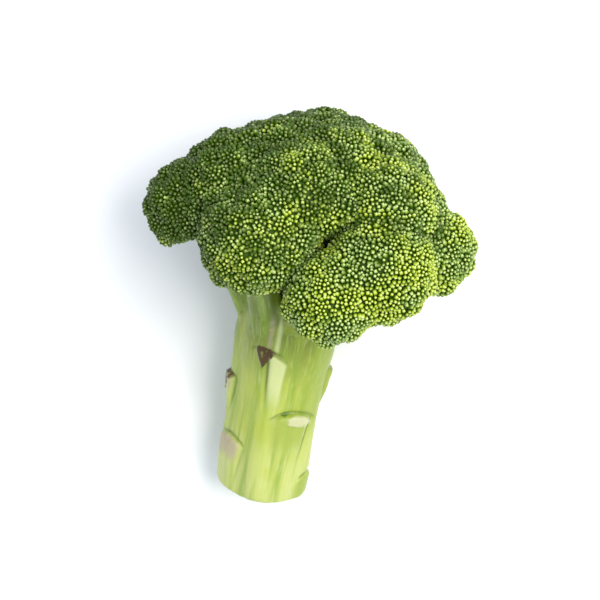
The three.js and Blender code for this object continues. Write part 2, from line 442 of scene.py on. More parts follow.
# What is left of each leaf: how its scar looks, how far it is moved up and round from its CAD node, and
# the panel of the stalk that runs down from it (its length, how far aside it is and its width).
plainScar = {
    "torn": 0.0, "dried": 0.0, "bruise": 0.0, "eye": 0.0, "lift": 0.0, "slide": 0.0, "panel": 22 * mm,
    "aside": 0.0, "width": 1.0, "pale": 0.15, "lush": 0.2, "edge": 0.5, "edgeSide": 0, "proud": 0.7,
    "streak": 0.0,
}
scars = {
    "leaf_base_1": {"torn": 0.3, "panel": 20 * mm, "lush": 0.9, "edge": 0.2, "width": 1.5, "proud": 0.25},
    "leaf_base_2": {"dried": 0.25, "bruise": 0.8, "slide": 1.0 * mm, "pale": 0.4, "lush": 0.0,
                    "panel": 28 * mm, "proud": 0.4},
    "leaf_base_3": {"torn": 0.8, "bruise": 0.3},
    "leaf_base_4": {"torn": 1.0, "eye": 1.0, "lift": 4.5 * mm, "aside": -1.5 * mm, "width": 0.85, "lush": 0.7,
                    "edge": 0.9, "edgeSide": 1, "panel": 32 * mm, "proud": 0.5},
    "leaf_base_5": {"dried": 0.8, "bruise": 0.5, "slide": 1.5 * mm, "lift": 4.0 * mm, "pale": 0.5,
                    "edge": 0.8, "edgeSide": 1, "width": 0.8, "proud": 0.45},
    "leaf_base_6": {"torn": 0.5, "dried": 0.3, "lift": 4.0 * mm, "width": 0.8},
    "leaf_base_7": {"dried": 1.0, "slide": 1.6 * mm, "lift": 3.6 * mm, "aside": 6.2 * mm, "width": 0.6,
                    "pale": 0.85, "lush": 0.0, "edge": 0.9, "edgeSide": -1, "panel": 34 * mm, "proud": 0.3,
                    "streak": 1.0},
}


limbShape = {
    "thickest": 9 * mm,  # no branch's own skin is farther from its middle line
    "usual": 5 * mm,
    "stretch": 0.07,  # the skin's pattern runs along a limb: its scale there, beside 1 across it
    "apart": 41.0,  # from one limb's pattern to the next
}
scarShape = {  # middles are across, as a share of the scar's half width, and down from its ledge
    "sag": 0.35,
    "taper": 0.4,  # how much narrower the panel is at its lower end
    "blur": 0.7 * mm,
    "edge": 0.8 * mm,
    "ledge": (1.0 * mm, 0.9 * mm),  # how far above the scar it is, and how wide
    "wound": (0.2, 2.6 * mm),
    "woundSize": (0.7, 3.0 * mm),
    "eye": (-0.42, -0.7 * mm),
    "eyeSize": (2.2 * mm, 0.9 * mm),  # both in real size
    "scab": (0.62, 9 * mm),  # a wedge that points down
    "scabRise": 0.8 * mm,
    "woundRise": 0.4 * mm,
    "streakTop": (14 * mm, 26 * mm),
    "streaks": ((1.5 * mm, 1.3 * mm), (4.8 * mm, 1.1 * mm)),  # brown and pale: how far aside, how wide
}


def bell(distance, width):
    return np.exp(-(distance / width) ** 2)


def leafBaseOn(name, height, around):  # one leaf base's relief and colouring, all over the stalk
    look = {**plainScar, **scars[name]}
    tall, turned, out = onStalk(cadSolid(name)[0])
    facing = math.atan2(np.sin(turned).mean(), np.cos(turned).mean())

    def across(angle):
        return (np.mod(angle - facing + math.pi, 2 * math.pi) - math.pi) * stalkRadius

    shape = scarShape
    half = np.ptp(across(turned)) / 2
    proud = out.max() - stalkRadius
    aside = across(around) - look["slide"]
    below = tall.mean() + look["lift"] - height - shape["sag"] * half * (aside / half) ** 2
    down = below / look["panel"]
    inPanel = aside - look["aside"]
    edge = half * look["width"] * (1 - shape["taper"] * np.clip(down, 0, 1))
    fade = (1 - smoothstep(0.35, 1.0, down)) * smoothstep(-shape["blur"], shape["blur"], below)
    side = (1 - smoothstep(0.55, 1.05, np.abs(inPanel) / edge)) * fade
    oneSide = np.where(inPanel * look["edgeSide"] < 0, 0.15, 1.0)
    edgeLine = bell(np.abs(inPanel) - edge, shape["edge"]) * fade * look["edge"] * oneSide
    above = look["streak"] * smoothstep(0.5 * mm, 3 * mm, -below) \
        * (1 - smoothstep(*shape["streakTop"], -below))
    ledge = bell(below + shape["ledge"][0], shape["ledge"][1]) \
        * (1 - smoothstep(0.8, 1.2, np.abs(aside) / half))
    fromWound = np.hypot((aside - shape["wound"][0] * half) / (shape["woundSize"][0] * half),
                         (below - shape["wound"][1]) / shape["woundSize"][1])
    wound = 1 - smoothstep(0.55, 1.15, fromWound)
    wedge = shape["scab"][0] * half * (1 - below / shape["scab"][1])
    scab = (1 - smoothstep(0.6, 1.15, np.abs(aside) / np.maximum(wedge, 0.1 * mm))) \
        * smoothstep(-2.4 * mm, -1.0 * mm, below) * (below < shape["scab"][1])
    fromEye = np.hypot((aside - shape["eye"][0] * half) / shape["eyeSize"][0],
                       (below - shape["eye"][1]) / shape["eyeSize"][1])
    eye = 1 - smoothstep(0.5, 1.0, fromEye)
    brown, pale = [above * bell(aside - middle, width) for middle, width in shape["streaks"]]
    return {
        "relief": look["proud"] * proud * side - stalkShape["groove"] * (ledge + edgeLine)
        + shape["scabRise"] * scab * min(1, look["dried"]) + shape["woundRise"] * wound * look["torn"],
        # the groove above the scar and along its panel's edge is painted darker as shade; the eye is a dark
        # spot of its own
        "eyeAndCreaseShade": np.maximum(0.65 * ledge, 0.8 * edgeLine) + eye * look["eye"],
        "torn": wound * look["torn"],
        "dried": scab * look["dried"],
        "bruise": side * look["bruise"] * (1 - smoothstep(0.2, 0.5, down)) + 0.6 * brown,
        "pale": side * look["pale"] + 0.8 * pale,
        "lush": side * look["lush"] * (1 - smoothstep(0.3, 0.9, down)),
    }


def limbAt(points):  # is each point on a branch, its place on its limb in millimetres, and its turn round it
    height, around, out = onStalk(points)
    best = (out - stalkRadius * 1.12) + 0.8 * np.maximum(0, height - stalkShape["fork"])
    stretch = limbShape["stretch"]
    grain = np.stack([out * np.sin(around), out * np.cos(around), height * stretch], 1) / mm
    turnOn = around.copy()
    isBranch = np.zeros(len(points))
    for index, name in enumerate(branchNames):
        line = limbLines[name]
        distance, along, offset = nearLine(points, line)
        own = distance[distance < limbShape["thickest"]]
        thick = np.median(own) if len(own) else limbShape["usual"]
        aim = unit(line[-1] - line[0])
        right = unit(np.cross(aim, stalkAxis + 0.3 * upSide))
        up = np.cross(right, aim)
        mine = distance - thick < best
        best = np.where(mine, distance - thick, best)
        isBranch = np.where(mine, 1.0, isBranch)
        place = np.stack([offset @ right, offset @ up, along * stretch], 1) / mm
        grain = np.where(mine[:, None], place + index * limbShape["apart"], grain)
        turnOn = np.where(mine, np.arctan2(offset @ right, offset @ up), turnOn)
    return isBranch, grain, turnOn


def makeStalk():
    solids = [cadSolid("stalk", stalkShape["grow"])] + [cadSolid(n, stalkShape["swell"]) for n in branchNames]
    mesh = remeshed("broccoliStalk", solids, stalkShape["voxel"], stalkShape["smoothing"])
    points = pointsOf(mesh)
    height, around, out = onStalk(points)
    feet = smoothstep(*stalkShape["meltHeight"], height) \
        * (1 - smoothstep(*stalkShape["meltOut"], out / stalkRadius))
    melted = pointsOf(smoothed(mesh, stalkShape["melting"]))
    points += feet[:, None] * (melted - points)
    movePoints(mesh, points)
    normals = normalsOf(mesh)
    height, around, out = onStalk(points)

    isBranch, grain, turnOn = limbAt(points)
    fork = stalkShape["fork"]
    onTrunk = (1 - isBranch) * smoothstep(0, 3 * mm, height) * (1 - smoothstep(fork, fork + 12 * mm, height))
    flutes = np.cos(5 * around + 30 * height) + 0.6 * np.cos(9 * around + 1.3)
    moved = onTrunk * stalkShape["flute"] * flutes
    moved += isBranch * stalkShape["rib"] * np.cos(6 * turnOn + 0.8)
    marks = {key: np.zeros(len(points)) for key in ("eyeAndCreaseShade", "torn", "dried", "bruise", "pale", "lush")}
    # the stalk's right side is greener high up
    highUp = smoothstep(28 * mm, 48 * mm, height)
    marks["lush"] = 0.6 * smoothstep(0.15, 0.9, around) * highUp * (1 - isBranch)
    nearTrunk = 1 - isBranch * smoothstep(1.1, 1.4, out / stalkRadius)
    for name in leafBaseNames:
        found = leafBaseOn(name, height, around)
        moved += found["relief"] * nearTrunk
        for key in marks:
            marks[key] = np.maximum(marks[key], found[key] * nearTrunk)

    moved += 0.12 * mm * np.array([noise.noise(Vector(p) / (2.5 * mm)) for p in points])
    face = smoothstep(0.35, 0.75, normals @ cutNormal) * (height < 3 * mm)
    points += normals * (moved * (1 - face))[:, None]
    points -= cutNormal * (face * stalkShape["cutDish"] * (1 - (out / stalkRadius) ** 2))[:, None]
    movePoints(mesh, points)

    outward = np.clip(out / (0.97 * stalkRadius), 0, 1)
    for key, values in {"height": height / mm, "grain": grain, "outward": outward, **marks}.items():
        storeOn(mesh, key, values)
    mesh.materials.append(stalkMaterial)
    mesh.materials.append(cutMaterial)
    faceCut = [1 if face[list(p.vertices)].min() > 0.5 else 0 for p in mesh.polygons]
    mesh.polygons.foreach_set("material_index", faceCut)
    mesh.shade_smooth()
    return newObject("stalk_and_branches", mesh)


stalkPiece = makeStalk()
print("stalk:", len(stalkPiece.data.polygons), "faces")


# ---- the florets' cores

coreShape = {
    "voxel": 1.5 * mm,
    "smoothing": 6,
    "grow": 1.6 * mm,  # makes neighbouring florets meet
    "dish": 0.3,  # how far the underside is hollowed, as a share of the floret's size
    "hemWidth": 9 * mm,
    "clear": 0.8 * mm,  # how far under the buds' feet the core stays
    "dishFrom": (3 * mm, 13 * mm),  # from the branch's middle to where the hollow is full
    "swellFrom": (-4.5 * mm, -2 * mm),  # only this near the ball's outside does the core swell
    "swellRounds": 4,
    "underside": 1.5 * mm,  # a floret's underside is below this level
    "facing": -0.45,  # and faces at least this far away from its aim
}
seed = 11


def spreadOut(points, gap, most=600):  # picks points at least a gap apart, always the farthest one next
    picked = [0]
    distance = lengths(points - points[0])
    while distance.max() > gap and len(picked) < most:
        picked.append(int(distance.argmax()))
        distance = np.minimum(distance, lengths(points - points[picked[-1]]))
    return np.array(picked)


def nearest(points, targets, share=2000):  # index of and distance to the nearest target
    index = np.zeros(len(points), int)
    distance = np.zeros(len(points))
    for start in range(0, len(points), share):
        part = slice(start, start + share)
        apart = lengths(points[part, None] - targets[None])
        index[part] = apart.argmin(1)
        distance[part] = apart.min(1)
    return index, distance


# How far a floret's buds keep from its CAD ball: to the right, along the stalk, and how much further
# they reach.
nudges = {
    "rim_1": (1.0 * mm, -0.5 * mm, -1.8 * mm),
    "rim_2": (0.0, -2.5 * mm, -0.5 * mm),
    "rim_3": (0.0, 0.0, -2.0 * mm),
    "rim_7": (-1.5 * mm, 0.0, 0.5 * mm),
    "rim_8": (2.5 * mm, 0.0, -2.0 * mm),
}


def ballOf(name):  # the middle and radius of the ball a floret's buds fill
    points, _ = cadSolid(name + "_buds")
    for _, normal, middle in flatFaces(name + "_buds")[:9]:
        points = points[np.abs((points - middle) @ normal) > 0.5 * mm]
    rows = np.hstack([2 * points, np.ones((len(points), 1))])
    solved = np.linalg.lstsq(rows, (points ** 2).sum(1), rcond=None)[0]
    right, along, further = nudges.get(name, (0.0, 0.0, 0.0))
    radius = math.sqrt(solved[3] + solved[:3] @ solved[:3])
    return solved[:3] + right * rightSide + along * stalkAxis, radius + further


balls = {name: ballOf(name) for name in floretNames}
lobes = {"rim_1": 1, "rim_9": 1, "rim_2": 2}  # the rest grew together as one mass
crownShape = {
    "blend": 3.6 * mm,  # how softly neighbouring florets run together
    "cleft": 5.0 * mm,  # how deep the clefts between lobes are
    "under": 1.0 * mm,  # from the outside of the buds down to the skin they stand on
    "wander": 1.5 * mm,
    "wanderSize": 13 * mm,
    "voxel": 1.5 * mm,
    "umbelletSpread": 8.4 * mm,  # from one cluster of buds to the next
    "umbelletRise": 1.9 * mm,
}


def toCrown(points, name):  # how far each point is outside the blended crown, and the way out
    total, way = 0, 0
    for other, (middle, radius) in balls.items():
        away = points - middle
        distance = lengths(away)
        shrunk = radius - (0 if lobes.get(other) == lobes.get(name) else crownShape["cleft"])
        share = np.exp((shrunk - distance) / crownShape["blend"])
        total = total + share
        way = way + (share / distance)[:, None] * away
    return -crownShape["blend"] * np.log(total), way / total[:, None]


def makeCore(name):
    solid = cadSolid(name + "_buds", coreShape["grow"])
    _, aim, branchEnd = limbEnd(name + "_branch")
    under = branchEnd + 0.35 * mm * aim
    mesh = remeshed(name + "_core", [solid], coreShape["voxel"], coreShape["smoothing"])
    points, normals = pointsOf(mesh), normalsOf(mesh)
    # the outer face swells until neighbours meet, so that only shallow furrows part them
    middle, radius = balls[name]
    fromBall = lengths(points - middle) - radius
    free = smoothstep(*coreShape["swellFrom"], fromBall)[:, None]
    for _ in range(coreShape["swellRounds"]):
        outside, way = toCrown(points, name)
        outside = outside + crownShape["under"]
        points -= free * outside[:, None] * way / np.maximum((way ** 2).sum(1), 0.4)[:, None]
    movePoints(mesh, points)
    smoothed(mesh, 2)
    points, normals = pointsOf(mesh), normalsOf(mesh)
    wander = np.array([noise.noise(Vector(p) / crownShape["wanderSize"]) for p in points])
    points += normals * (crownShape["wander"] * wander)[:, None]
    level = (points - under) @ aim
    isUnder = (level < coreShape["underside"]) & (normals @ aim < coreShape["facing"])
    outer = np.nonzero(~isUnder)[0]
    _, fromHem = nearest(points, points[outer][::2])
    size = lengths(points - points.mean(0)).mean()
    fromAxis = lengths(np.cross(points - branchEnd, aim))
    lift = coreShape["dish"] * size * smoothstep(0, coreShape["hemWidth"], fromHem) \
        * smoothstep(*coreShape["dishFrom"], fromAxis) * isUnder
    points += lift[:, None] * aim
    movePoints(mesh, points)
    return {"name": name, "mesh": mesh, "aim": aim, "branchEnd": branchEnd, "under": under,
            "isUnder": isUnder, "size": size}


cores = [makeCore(name) for name in floretNames]
print("cores:", sum(len(c["mesh"].polygons) for c in cores), "faces")


# ---- the skin over all the cores, where the buds stand

def makeCrown():
    solids = [(pointsOf(c["mesh"]), [list(p.vertices) for p in c["mesh"].polygons]) for c in cores]
    mesh = remeshed("crown", solids, crownShape["voxel"], 4)
    points, normals = pointsOf(mesh), normalsOf(mesh)
    owner = floretAt(points)
    aims = np.array([c["aim"] for c in cores])[owner]
    level = ((points - np.array([c["under"] for c in cores])[owner]) * aims).sum(1)
    isOuter = (level > coreShape["underside"]) | ((normals * aims).sum(1) > coreShape["facing"])
    outer = points[isOuter]
    centres = outer[spreadOut(outer, crownShape["umbelletSpread"])]
    _, fromCentre = nearest(points, centres)
    fall = np.minimum(1, (fromCentre / (0.55 * crownShape["umbelletSpread"])) ** 2)
    points += normals * (crownShape["umbelletRise"] * (1 - fall))[:, None]
    movePoints(mesh, points)
    return {"tree": treeOver(mesh), "points": points, "owner": owner, "isOuter": isOuter, "centres": centres,
            "centreOwner": floretAt(centres)}


def floretAt(points):  # which floret each point belongs to
    reach = [lengths(points - balls[name][0]) - balls[name][1] for name in floretNames]
    return np.array(reach).argmin(0)


crown = makeCrown()
print("crown:", len(crown["centres"]), "clusters of buds")


# ---- the buds: where they stand

budGrowth = {
    "spacing": 1.8 * mm,
    "mostInUmbellet": 46,
    "youngShare": 0.8,  # the middle buds of a cluster stand this much closer
    "uneven": (0.78, 1.22),
    "crowded": 0.74,  # the least distance between buds, as a share of their spacing
    "bare": 0.76,  # the widest gap left between buds, as a share of their spacing
    "untidy": 0.22,
    "sizes": (0.7, 1.35),
    "lean": 0.4,  # how far the outer buds of a cluster lean away from it
    "rounds": 6,
    "lastRounds": 3,
    "cleftSink": 0.6 * mm,  # how much deeper the buds in a cleft stand
    "cleftWidth": 2.6 * mm,
    "fillers": (0.75, 0.95),  # how close together the buds in the bare places may stand
    "seat": (-0.5 * mm, 2 * mm),  # no bud is lower than this, or faces down when it is lower than that
    "seatFacing": -0.75,
    "goldenAngle": math.radians(137.508),
    "curl": 0.55,  # how fast a cluster's spiral of buds widens
    "overlap": 0.4 * mm,  # how far a cluster runs on into the next one
}


def settle(points, spacing, tree, rounds):  # pushes crowded buds apart along the surface
    for _ in range(rounds):
        away = points[:, None] - points[None]
        distance = lengths(away) + 1e-9
        wanted = (spacing[:, None] + spacing[None]) / 2
        push = np.where(distance < wanted, (wanted - distance) / distance * 0.4, 0)
        np.fill_diagonal(push, 0)
        points = points + (away * push[..., None]).sum(1) * 0.6
        points = np.array([tree.find_nearest(Vector(p))[0] for p in points])
    return points


def fromCleft(points):  # how much nearer each point is to its own lobe than to the next one
    reach = {}
    for name, (middle, radius) in balls.items():
        away = lengths(points - middle) - radius
        reach[lobes.get(name)] = np.minimum(reach.get(lobes.get(name), away), away)
    ordered = np.sort(list(reach.values()), axis=0)
    return ordered[1] - ordered[0]


def growBuds(index, placed, rng):
    core, tree, centres = cores[index], crown["tree"], crown["centres"]
    points, spacing, home = [], [], []
    for spot in np.nonzero(crown["centreOwner"] == index)[0]:
        foot, normal, _, _ = tree.find_nearest(Vector(centres[spot]))
        foot, normal = np.array(foot), np.array(normal)
        side = unit(np.cross(normal, [0.31, 0.52, 0.79]))
        other = np.cross(normal, side)
        turn = rng.uniform(0, 2 * math.pi)
        for k in range(budGrowth["mostInUmbellet"]):
            reach = 0.5 * budGrowth["spacing"] * (k + 0.3) ** budGrowth["curl"]
            angle = k * budGrowth["goldenAngle"] + turn
            place = foot + reach * (math.cos(angle) * side + math.sin(angle) * other)
            gaps = lengths(centres - place)
            if gaps[spot] > gaps.min() + budGrowth["overlap"]:
                continue
            points.append(place)
            young = min(1.0, reach / (0.5 * crownShape["umbelletSpread"]))
            size = budGrowth["youngShare"] + (1.0 - budGrowth["youngShare"]) * young
            spacing.append(budGrowth["spacing"] * size * rng.uniform(*budGrowth["uneven"]))
            home.append(spot)
    points, spacing, home = np.array(points), np.array(spacing), np.array(home)
    points = np.array([tree.find_nearest(Vector(p))[0] for p in points])
    points = settle(points, spacing, tree, budGrowth["rounds"])

    # drop the buds that are still crowded
    kept = []
    _, fromPlaced = nearest(points, placed)
    least = budGrowth["crowded"] * spacing
    for i in range(len(points)):
        fromKept = lengths(points[kept] - points[i])
        if fromPlaced[i] > least[i] and (fromKept > least[i]).all():
            kept.append(i)
    points, spacing, home = points[kept], spacing[kept], home[kept]

    # fill the bare places
    spots = crown["points"][crown["isOuter"] & (crown["owner"] == index)]
    _, bare = nearest(spots, np.vstack([placed, points]))
    fewest = budGrowth["bare"] * budGrowth["spacing"]
    for i in np.argsort(-bare):
        if bare[i] < fewest:
            break
        if lengths(points - spots[i]).min() > fewest:
            points = np.vstack([points, spots[i]])
            spacing = np.append(spacing, budGrowth["spacing"] * rng.uniform(*budGrowth["fillers"]))
            home = np.append(home, nearest(spots[i:i + 1], centres)[0][0])
    points = settle(points, spacing, tree, budGrowth["lastRounds"])
    normals = np.array([tree.find_nearest(Vector(p))[1] for p in points])
    level = (points - core["under"]) @ core["aim"]
    lowest, hem = budGrowth["seat"]
    seated = (level > lowest) & ~((level < hem) & (normals @ core["aim"] < budGrowth["seatFacing"]))
    points, spacing, home, normals = points[seated], spacing[seated], home[seated], normals[seated]
    outward = points - centres[home]
    outward -= (outward * normals).sum(1)[:, None] * normals
    lean = normals + budGrowth["lean"] * outward / (0.5 * crownShape["umbelletSpread"])
    lean += budGrowth["untidy"] * rng.normal(size=lean.shape)

    # each bud is as big as the room it has
    apart = lengths(points[:, None] - points[None])
    room = np.sort(apart, axis=1)[:, 1:5].mean(1) / budGrowth["spacing"]
    sizes = np.clip(0.5 * room + 0.5 * spacing / budGrowth["spacing"], *budGrowth["sizes"])
    sunk = budGrowth["cleftSink"] * bell(fromCleft(points), budGrowth["cleftWidth"])
    points = points - normals * sunk[:, None]
    return points, unit(lean), sizes, normals, home


def canBeSeen(points, normals, height=1.6 * mm, reach=60 * mm):  # buds deep in a closed cleft are left out
    seen = []
    for point, normal in zip(points, normals):
        start = Vector(point + normal * height)
        side = unit(np.cross(normal, [0.3, 0.5, 0.8]))
        other = np.cross(normal, side)
        rays = [normal] + [unit(normal + 1.1 * (math.cos(a) * side + math.sin(a) * other))
                           for a in np.linspace(0, 2 * math.pi, 7)[:-1]]
        seen.append(any(crown["tree"].ray_cast(start, Vector(ray), reach)[0] is None for ray in rays))
    return np.array(seen)


# Towards the lit side of the head the buds are yellower, and they are painted lighter there and painted
# darker away from it, as light and shade; buds deep in a cleft are painted darker and less yellow, as shade;
# patches of them vary.
ripening = {
    "patchSize": 15 * mm,
    "shadeSize": 9 * mm,
    "shift": Vector((3.1, 8.7, 1.9)),
    # the way towards the lit lower right of the head
    "sunny": Vector((0.72, -0.68, 0.1)),
    "reach": 70 * mm,
    "moods": (0.14, 0.12),  # how much the clusters of buds differ in ripeness and in darkness
    "ripe": {"usual": 0.34, "patch": 1.3, "towardLight": 0.4, "deep": 0.4, "scatter": 0.16},
    "dark": {"usual": 0.5, "patch": 0.75, "towardLight": 1.05, "deep": 0.9, "scatter": 0.24},
}
headMiddle = sum((Vector(middle) for middle, _ in balls.values()), Vector()) / len(balls)


def budFacts(points, home, rng):  # how ripe (yellow-green) and how dark each bud is; the darkness is partly random tone and partly painted shade
    moods = rng.normal(size=(len(crown["centres"]), 2)) * ripening["moods"]
    # buds deep in a cleft are painted darker, as shade
    hidden = bell(fromCleft(points), budGrowth["cleftWidth"])
    asRipe, asDark = ripening["ripe"], ripening["dark"]
    ripe, toneAndShade = [], []
    for p, mood, deep in zip(points, moods[home], hidden):
        spot = Vector(p) / ripening["patchSize"] + ripening["shift"]
        patch = noise.noise(spot) + 0.5 * noise.noise(spot * 2.3)
        shade = noise.noise(Vector(p) / ripening["shadeSize"] - ripening["shift"])
        # towards the lit side the buds are painted lighter, away from it painted darker, as light and shade
        towardLight = (Vector(p) - headMiddle).dot(ripening["sunny"]) / ripening["reach"]
        ripe.append(asRipe["usual"] + asRipe["patch"] * patch + asRipe["towardLight"] * towardLight + mood[0]
                    - asRipe["deep"] * deep + rng.normal() * asRipe["scatter"])
        toneAndShade.append(asDark["usual"] + asDark["patch"] * shade - asDark["towardLight"] * towardLight + mood[1]
                    + asDark["deep"] * deep + rng.normal() * asDark["scatter"])
    return np.clip(ripe, 0, 1), np.clip(toneAndShade, 0, 1)


# ---- the buds: what they look like

budSizes = {"Bud Width": 2.0 * mm, "Bud Length": 2.7 * mm, "Sepal Relief": 0.13, "Size Scatter": 0.2,
            "Sink": 0.28, "Seed": 5}
budForm = {
    "sepals": 4.0,
    "slimming": -0.14,  # how much the bud's width changes from its middle to its tip
    "flatFrom": 0.85,  # the tip is flattened from here up, as a share of half its length
    "flattening": -1.4,
}


def budTree():
    tree, given = newTree("budsOnCore", {**budSizes, "Bud Material": None, "Core Material": None})

    # one bud: an ovoid that narrows to its tip, with four sepals and a flat top
    ball = addNode(tree, "GeometryNodeMeshUVSphere", {"Segments": 8, "Rings": 5, "Radius": 1.0})
    where = addNode(tree, "GeometryNodeInputPosition")
    place = addNode(tree, "ShaderNodeSeparateXYZ", {0: where.outputs[0]}).outputs
    known = {"x": place[0], "y": place[1], "z": place[2], **{name: given[name] for name in budSizes}}
    sums = [  # each result, how it is worked out and what from
        ("rise", "MULTIPLY_ADD", "z", 0.5, 0.5),  # 0 at the bud's foot, 1 at its tip
        ("angle", "ARCTAN2", "y", "x"),
        ("four turns", "MULTIPLY", "angle", budForm["sepals"]),
        ("wave", "COSINE", "four turns"),
        ("relief", "MULTIPLY", "wave", "Sepal Relief"),
        ("slimmer", "MULTIPLY_ADD", "z", budForm["slimming"], 1.0),
        ("girth", "ADD", "slimmer", "relief"),
        ("half width", "MULTIPLY", "Bud Width", 0.5),
        ("half length", "MULTIPLY", "Bud Length", 0.5),
        ("radius", "MULTIPLY", "girth", "half width"),
        ("new x", "MULTIPLY", "x", "radius"),
        ("new y", "MULTIPLY", "y", "radius"),
        ("over the top", "SUBTRACT", "z", budForm["flatFrom"]),
        ("dent", "MAXIMUM", "over the top", 0.0),
        ("flattened", "MULTIPLY_ADD", "dent", budForm["flattening"], "z"),
        ("raised", "ADD", "flattened", "Sink"),
        ("new z", "MULTIPLY", "raised", "half length"),
        ("smallest", "SUBTRACT", 1.0, "Size Scatter"),
    ]
    for name, operation, *parts in sums:
        inputs = {i: known.get(part, part) for i, part in enumerate(parts)}
        known[name] = addNode(tree, "ShaderNodeMath", inputs, operation=operation).outputs[0]
    marked = addNode(tree, "GeometryNodeStoreNamedAttribute", {
        "Geometry": ball.outputs["Mesh"], "Name": "rise", "Value": known["rise"]},
        data_type="FLOAT", domain="POINT")
    newPlace = addNode(tree, "ShaderNodeCombineXYZ", {
        0: known["new x"], 1: known["new y"], 2: known["new z"]})
    shaped = addNode(tree, "GeometryNodeSetPosition", {
        "Geometry": marked.outputs[0], "Position": newPlace.outputs[0]})

    # the points that bear buds, apart from the core's own
    facts = {}
    for name, kind in {"isBud": "FLOAT", "aim": "FLOAT_VECTOR", "size": "FLOAT"}.items():
        fact = addNode(tree, "GeometryNodeInputNamedAttribute", {"Name": name}, data_type=kind)
        facts[name] = fact.outputs[0]
    parted = addNode(tree, "GeometryNodeSeparateGeometry", {
        "Geometry": given["Geometry"], "Selection": facts["isBud"]}, domain="POINT")
    aligned = addNode(tree, "FunctionNodeAlignRotationToVector", {"Vector": facts["aim"]}, axis="Z")
    spin = addNode(tree, "FunctionNodeRandomValue", {
        2: 0.0, 3: 2 * math.pi, "Seed": given["Seed"]}, data_type="FLOAT")
    spun = addNode(tree, "FunctionNodeAxisAngleToRotation", {"Axis": (0, 0, 1), "Angle": spin.outputs[1]})
    turned = addNode(tree, "FunctionNodeRotateRotation", {
        "Rotation": aligned.outputs[0], "Rotate By": spun.outputs[0]}, rotation_space="LOCAL")
    scatter = addNode(tree, "FunctionNodeRandomValue", {
        2: known["smallest"], 3: 1.0, "Seed": given["Seed"]}, data_type="FLOAT")
    scale = addNode(tree, "ShaderNodeMath", {0: facts["size"], 1: scatter.outputs[1]}, operation="MULTIPLY")
    placed = addNode(tree, "GeometryNodeInstanceOnPoints", {
        "Points": parted.outputs["Selection"], "Instance": shaped.outputs[0],
        "Rotation": turned.outputs[0], "Scale": scale.outputs[0]})
    both = addNode(tree, "GeometryNodeJoinGeometry", {0: placed.outputs[0]})
    tree.links.new(parted.outputs["Inverted"], both.inputs[0])
    smooth = addNode(tree, "GeometryNodeSetShadeSmooth", {"Geometry": both.outputs[0]})
    real = addNode(tree, "GeometryNodeRealizeInstances", {"Geometry": smooth.outputs[0]})
    coreDone = addNode(tree, "GeometryNodeSetMaterial", {
        "Geometry": real.outputs[0], "Material": given["Core Material"]})
    done = addNode(tree, "GeometryNodeSetMaterial", {
        "Geometry": coreDone.outputs[0], "Selection": facts["isBud"], "Material": given["Bud Material"]})
    addNode(tree, "NodeGroupOutput", {"Geometry": done.outputs[0]})
    return tree


def runTree(name, mesh, tree, values):
    thing = newObject(name + "_source", mesh)
    maker = thing.modifiers.new("maker", "NODES")
    maker.node_group = tree
    sockets = {s.name: s.identifier for s in tree.interface.items_tree if s.in_out == "INPUT"}
    for key, value in values.items():
        maker[sockets[key]] = value
    made = applied(thing)
    return newObject(name, made)


buds = budTree()


def underSkin(point):  # moves a core's point to at least the clear depth under the skin where the buds stand
    place, way, _, _ = crown["tree"].find_nearest(Vector(point))
    over = (Vector(point) - place).dot(way) + coreShape["clear"]
    return point - max(0.0, over) * np.array(way)


def makeFloret(index, placed):
    core = cores[index]
    rng = np.random.default_rng(seed + index)
    points, aims, sizes, normals, home = growBuds(index, placed, rng)
    seen = canBeSeen(points, normals)
    points, aims, sizes = points[seen], aims[seen], sizes[seen]
    ripe, toneAndShade = budFacts(points, home[seen], rng)
    corePoints = pointsOf(core["mesh"])
    for i in np.nonzero(~core["isUnder"])[0]:
        corePoints[i] = underSkin(corePoints[i])
    mesh = meshOf(core["name"], np.vstack([corePoints, points]), [p.vertices for p in core["mesh"].polygons])

    # the core's own points have none of the buds' facts
    budFactsByName = {"isBud": np.ones(len(points)), "aim": aims, "size": sizes, "ripe": ripe, "toneAndShade": toneAndShade}
    for name, values in budFactsByName.items():
        blank = np.zeros((len(corePoints), *values.shape[1:]))
        storeOn(mesh, name, np.concatenate([blank, values]))
    storeOn(mesh, "under", np.concatenate([core["isUnder"].astype(float), np.zeros(len(points))]))
    values = {**budSizes, "Bud Material": budMaterial, "Core Material": coreMaterial}
    floret = runTree(core["name"] + "_floret", mesh, buds, values)
    return floret, points


floretPieces = []
placed = np.full((1, 3), 9.0)  # far away, so that the first floret has something to keep clear of
for index in range(len(cores)):
    piece, points = makeFloret(index, placed)
    floretPieces.append(piece)
    placed = np.vstack([placed, points])
print("buds:", len(placed) - 1)


# ---- the finer stems under each floret

stemShape = {
    "forks": 7,
    "forkThick": (3.0 * mm, 2.0 * mm),  # at its foot and at its end, on a floret of the usual size
    "forkGap": 11 * mm,
    "forkReach": 0.8,  # how far out a fork ends, as a share of the way to the buds
    "forkLead": 0.45,
    "inside": 3 * mm,  # how far inside the branch a fork starts
    "twigThick": (1.5 * mm, 0.9 * mm),
    "twigGap": 4.5 * mm,
    "twigLead": 0.9,
    "twigFrom": 3,  # the step of its fork that a twig leaves from
    "intoBuds": 1.2 * mm,
    "fromAxis": 5 * mm,
    "usualSize": 24 * mm,
    "steps": 6,
}


